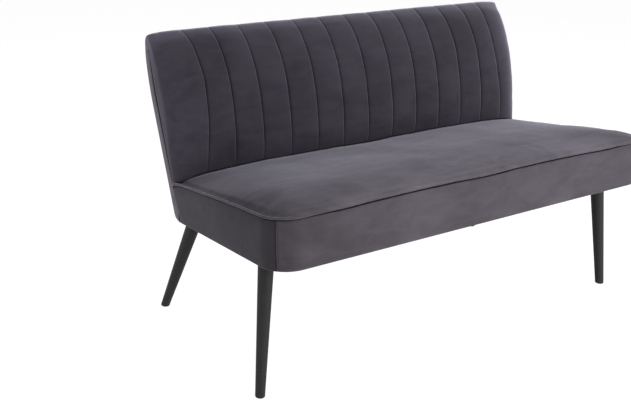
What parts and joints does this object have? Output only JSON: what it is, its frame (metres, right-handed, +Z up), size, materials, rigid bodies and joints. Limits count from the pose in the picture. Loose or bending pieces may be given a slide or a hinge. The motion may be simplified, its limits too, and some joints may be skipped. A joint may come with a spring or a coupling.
{
  "type": "upholstered dining bench",
  "caption": "Upholstered bench with a crowned seat, a leaning back sewn in vertical channels, piped seat edge and round tapered splayed legs.",
  "frame": {"origin": "on the floor, under the middle of the bench's bounding box", "axes": "+X to the right seen from the front, along the length; +Y to the rear; +Z up"},
  "size_m": [1.2884, 0.6811, 0.8079],
  "materials": {
    "velvet": "short-pile velvet",
    "leg": "matte black lacquer",
    "frame_wood": "planed",
    "dowel": "turned",
    "hardboard": "pressed board",
    "foam": "open-cell foam",
    "webbing": "woven elastic",
    "dust_cloth": "non-woven",
    "steel": "zinc plated"
  },
  "bodies": {
    "root": {"back_cover": "velvet", "back_dowels": "dowel", "back_foam": "foam", "back_lag_screws": "steel", "back_middle_rails": "frame_wood", "back_top_rail": "frame_wood", "back_upright_inner_left": "frame_wood", "back_upright_inner_right": "frame_wood", "back_upright_outer_left": "frame_wood", "back_upright_outer_right": "frame_wood", "back_washers": "steel", "back_webbing": "webbing", "back_webbing_staples": "steel", "cross_rails": "frame_wood", "dust_cover": "dust_cloth", "dust_cover_staples": "steel", "front_border": "velvet", "front_left_leg": "leg", "front_left_leg_block": "frame_wood", "front_rail": "frame_wood", "front_right_leg": "leg", "front_right_leg_block": "frame_wood", "left_border": "velvet", "left_side_rail": "frame_wood", "leg_studs": "steel", "leg_tee_nuts": "steel", "rear_cover": "velvet", "rear_left_leg": "leg", "rear_left_leg_block": "frame_wood", "rear_panel": "hardboard", "rear_rail": "frame_wood", "rear_right_leg": "leg", "rear_right_leg_block": "frame_wood", "right_border": "velvet", "right_side_rail": "frame_wood", "seat_cover": "velvet", "seat_dowels": "dowel", "seat_foam": "foam", "seat_piping": "velvet", "seat_webbing": "webbing", "seat_webbing_staples": "steel"}
  },
  "joints": []
}
